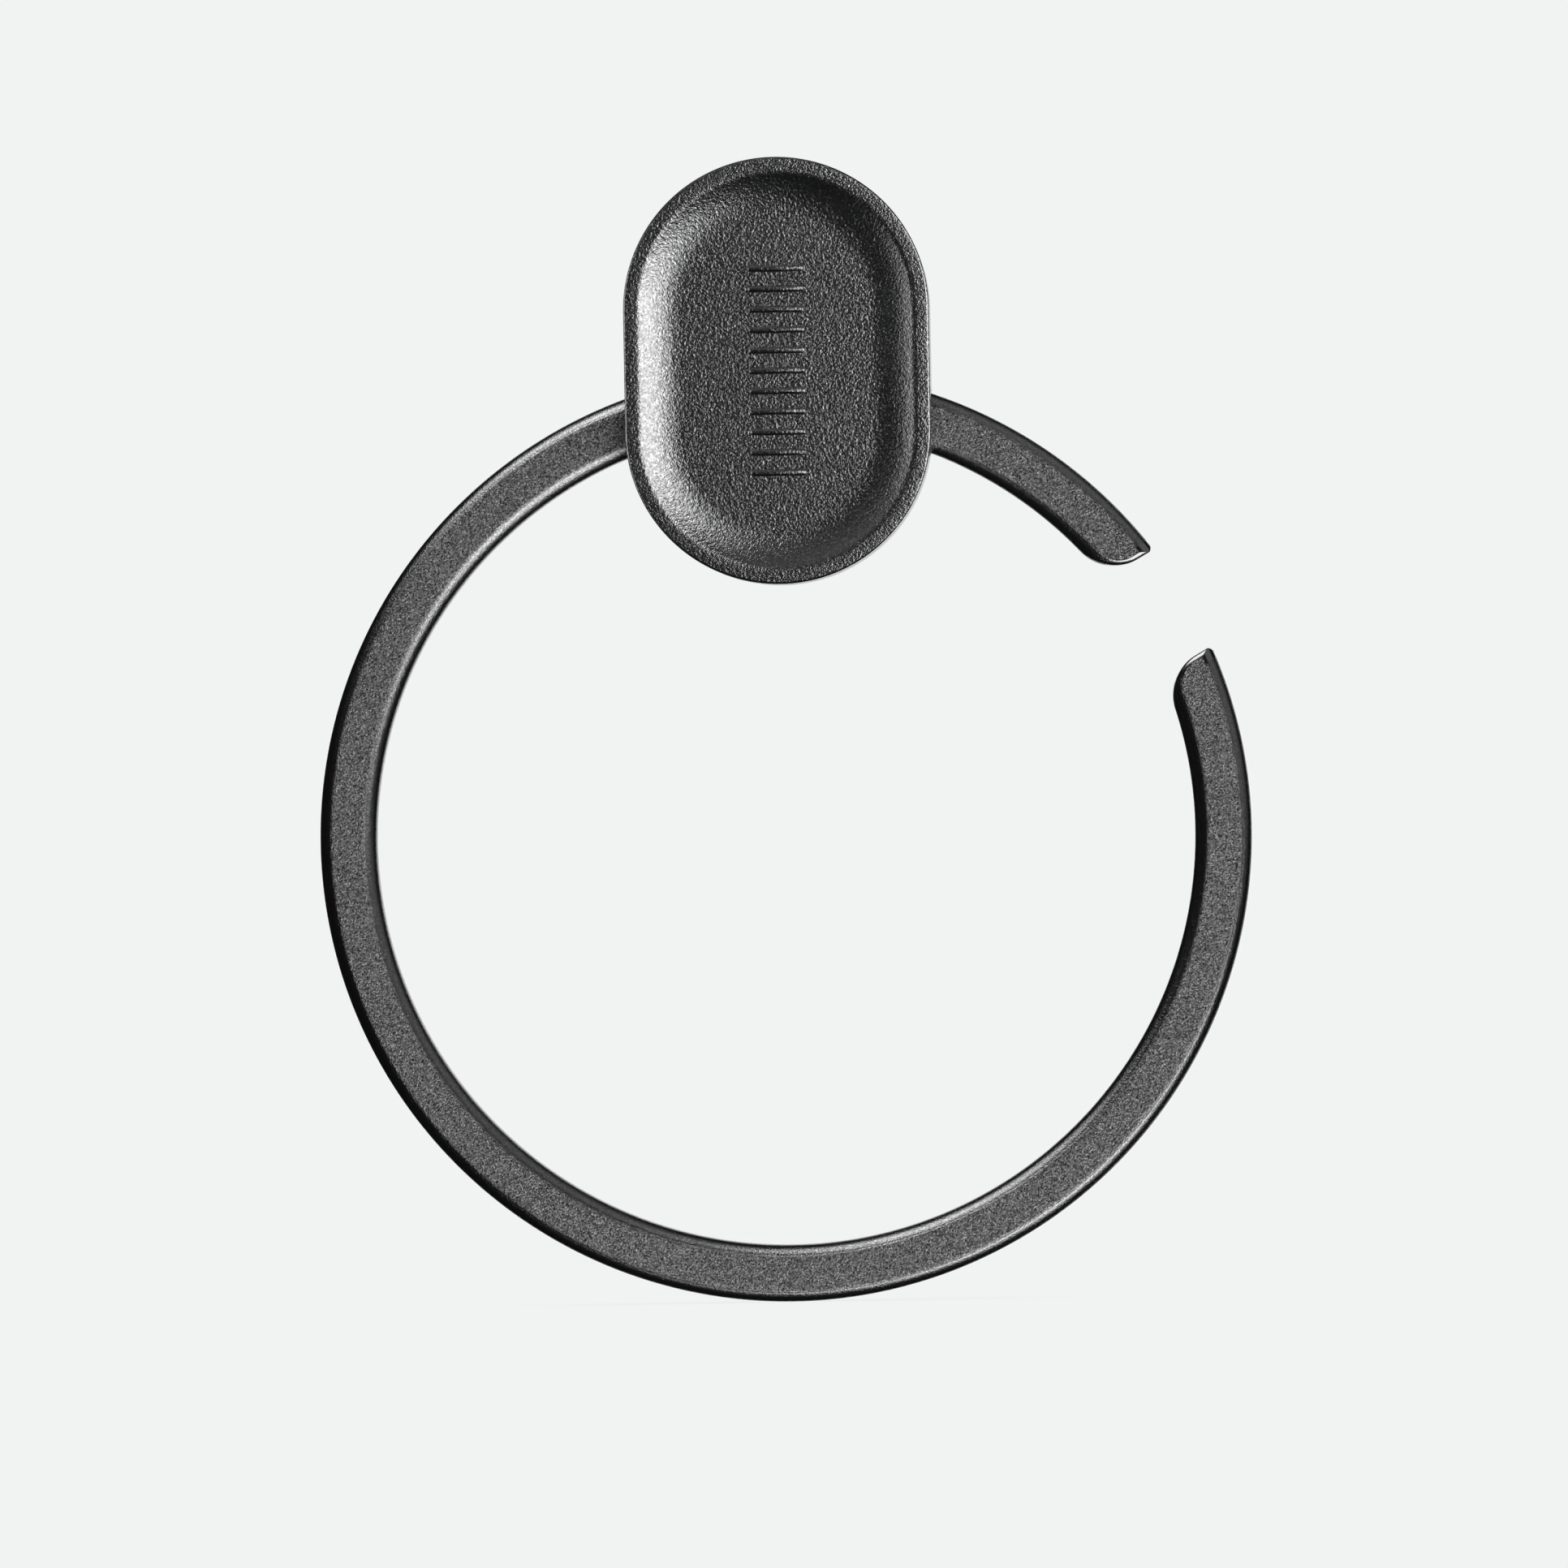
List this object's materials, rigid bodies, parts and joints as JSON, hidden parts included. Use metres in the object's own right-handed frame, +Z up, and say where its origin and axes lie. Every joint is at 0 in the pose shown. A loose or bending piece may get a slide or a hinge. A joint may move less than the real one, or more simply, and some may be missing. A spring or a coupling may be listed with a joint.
{
  "type": "split key ring",
  "caption": "Flat C-shaped key ring band that turns through a dished pill-shaped grip, with a sprung latch that fills the split when it is closed.",
  "frame": {"origin": "below the ring's centre at the band's lowest point, at mid-thickness", "axes": "+Z up from the band's lowest point to the grip, -Y out of the front face, +X to the right seen from the front"},
  "size_m": [0.032, 0.0054, 0.0393],
  "materials": {
    "band": "charcoal coating with a fine metallic grain, smoother on the rounded edges",
    "grip": "charcoal coating over a pebbled casting grain, semi-matt",
    "liner": "smooth black acetal",
    "hardware": "bright ground steel"
  },
  "bodies": {
    "grip": {"grip_front_shell": "grip", "grip_back_shell": "grip", "liner_front": "liner", "liner_back": "liner", "dowel_upper_left": "hardware", "dowel_upper_right": "hardware", "dowel_lower_left": "hardware", "dowel_lower_right": "hardware", "latch_spring_left": "hardware", "latch_spring_right": "hardware"},
    "band": {"split_band": "band"},
    "latch": {"latch": "hardware"}
  },
  "joints": [
    {"name": "band_turn", "type": "hinge", "parent": "grip", "child": "band", "pos_m": [0, 0, 0.016], "axis": [0, -1, 0], "range_deg": [0, 60]},
    {"name": "latch_slide", "type": "slide", "parent": "grip", "child": "latch", "axis": [0, 0, 1], "range_m": [0, 0.0004], "stiffness_N_per_m": 150, "springref_m": 0.001, "deforming": ["latch_spring_left", "latch_spring_right"]}
  ]
}
